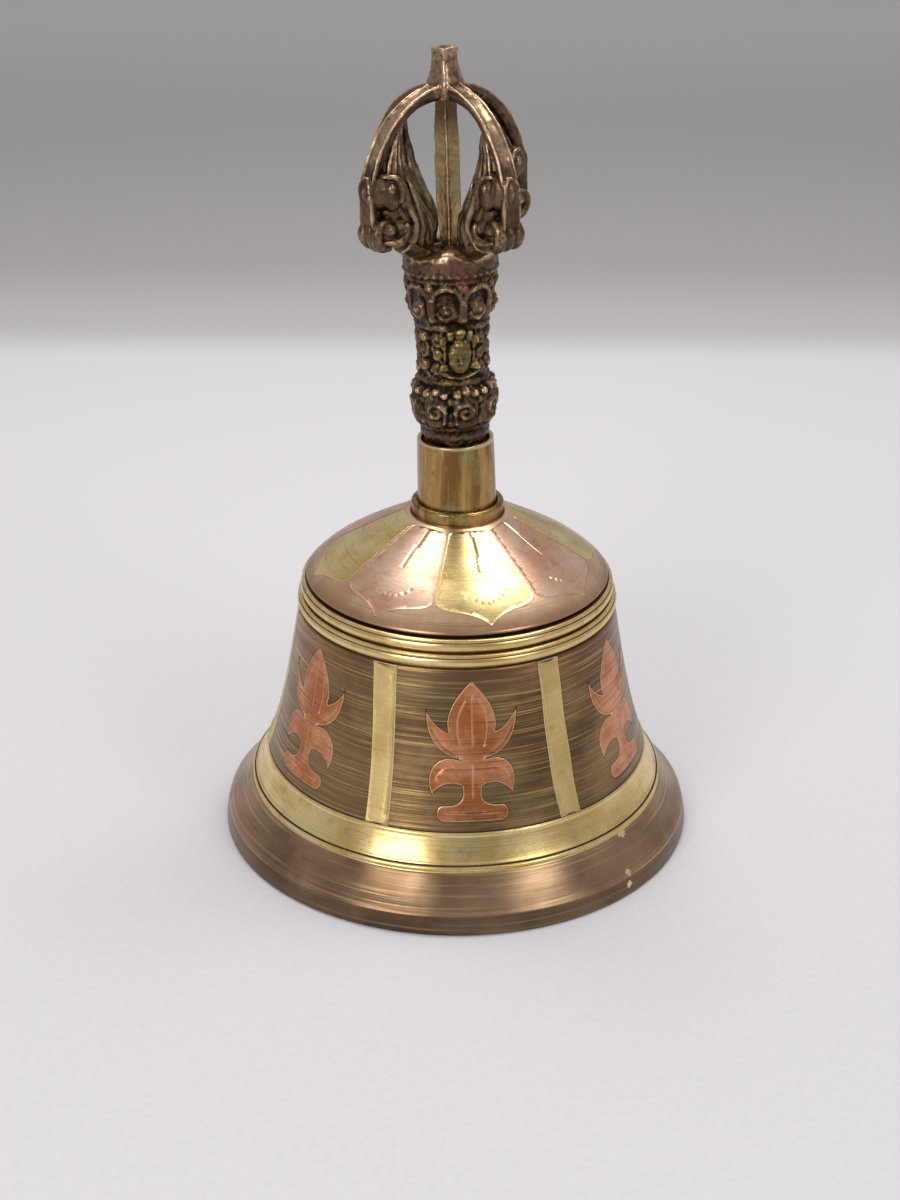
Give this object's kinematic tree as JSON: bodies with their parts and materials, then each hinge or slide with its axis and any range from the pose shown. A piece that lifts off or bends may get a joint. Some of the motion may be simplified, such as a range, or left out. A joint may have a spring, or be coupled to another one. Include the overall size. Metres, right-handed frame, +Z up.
{
  "type": "tibetan hand bell",
  "caption": "Hand bell with a flared turned cup, let-in petals and panels, a socketed cast handle with a pronged cage, and a swinging clapper.",
  "frame": {"origin": "centre of the ring that the lip rests on, on the plane that the bell stands on", "axes": "+Z up along the cup's axis, -Y the front of the bell, +X to the right as seen from the front"},
  "size_m": [0.0918, 0.0918, 0.1491],
  "materials": {
    "bell_metal": "turned and patinated, with the mouldings and the band turned bright",
    "brass_sheet": "turned, with engraved lines",
    "copper_sheet": "copper, turned and engraved",
    "socket_brass": "polished, a little tarnished",
    "cast_bronze": "cast, dark patina with worn high spots",
    "rod_brass": "filed, dull",
    "steel": "plain, dulled",
    "clapper_metal": "turned, dark",
    "resin": "poured lac"
  },
  "bodies": {
    "bell": {"bell_cup": "bell_metal", "petal_brass_1": "brass_sheet", "petal_brass_2": "brass_sheet", "petal_brass_3": "brass_sheet", "petal_brass_4": "brass_sheet", "petal_copper_1": "copper_sheet", "petal_copper_2": "copper_sheet", "petal_copper_3": "copper_sheet", "petal_copper_4": "copper_sheet", "panel_bar_1": "brass_sheet", "panel_bar_2": "brass_sheet", "panel_bar_3": "brass_sheet", "panel_bar_4": "brass_sheet", "panel_bar_5": "brass_sheet", "panel_bar_6": "brass_sheet", "panel_motif_1": "copper_sheet", "panel_motif_2": "copper_sheet", "panel_motif_3": "copper_sheet", "panel_motif_4": "copper_sheet", "panel_motif_5": "copper_sheet", "panel_motif_6": "copper_sheet", "collar_ring": "socket_brass", "ferrule": "socket_brass", "handle_shaft": "cast_bronze", "outer_prong_1": "cast_bronze", "outer_prong_2": "cast_bronze", "outer_prong_3": "cast_bronze", "outer_prong_4": "cast_bronze", "center_prong": "rod_brass", "prong_hub": "cast_bronze", "eye_bolt": "steel", "crown_washer": "socket_brass", "bolt_nut": "steel", "socket_fill": "resin"},
    "link": {"clapper_link": "steel"},
    "clapper": {"clapper_rod": "clapper_metal", "clapper_bob": "clapper_metal"}
  },
  "joints": [
    {"name": "link_swing", "type": "hinge", "parent": "bell", "child": "link", "pos_m": [0, 0, 0.0493], "axis": [1, 0, 0], "range_deg": [-32, 32]},
    {"name": "clapper_swing", "type": "hinge", "parent": "link", "child": "clapper", "pos_m": [0, 0, 0.04325], "axis": [0, 1, 0], "range_deg": [-38, 38]}
  ]
}
